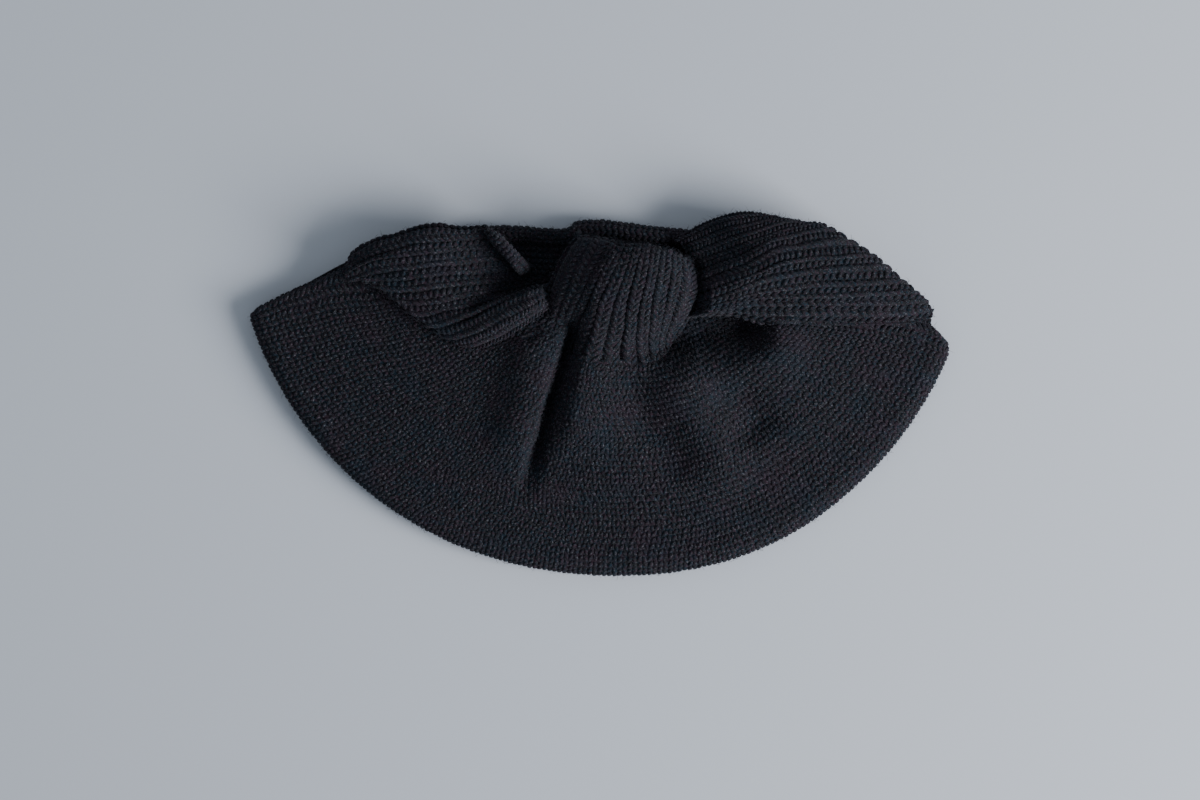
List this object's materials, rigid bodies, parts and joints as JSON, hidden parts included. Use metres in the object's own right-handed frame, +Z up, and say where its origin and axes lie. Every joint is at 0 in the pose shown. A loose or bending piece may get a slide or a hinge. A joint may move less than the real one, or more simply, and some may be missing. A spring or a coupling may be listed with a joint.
{
  "type": "knotted knit turban hat",
  "caption": "Soft knit turban hat in black wool with a fan-shaped crown and a ribbed front band pinched by a knot, lying flat.",
  "frame": {"origin": "on the floor under the middle of the hat's box, with the hat lying on its back wall and the knot up", "axes": "+Z up from the floor, +Y out of the mouth where the head goes in, +X to the right seen from above with the mouth at the top"},
  "size_m": [0.3618, 0.1875, 0.053],
  "materials": {
    "knit": "stockinette in matt black wool with fine lighter fibres",
    "rib": "ribbed band in matt black wool with fine lighter fibres"
  },
  "bodies": {
    "root": {"crown": "knit", "wing_left": "rib", "wing_right": "rib", "knot": "knit", "back_band": "rib"}
  },
  "joints": []
}
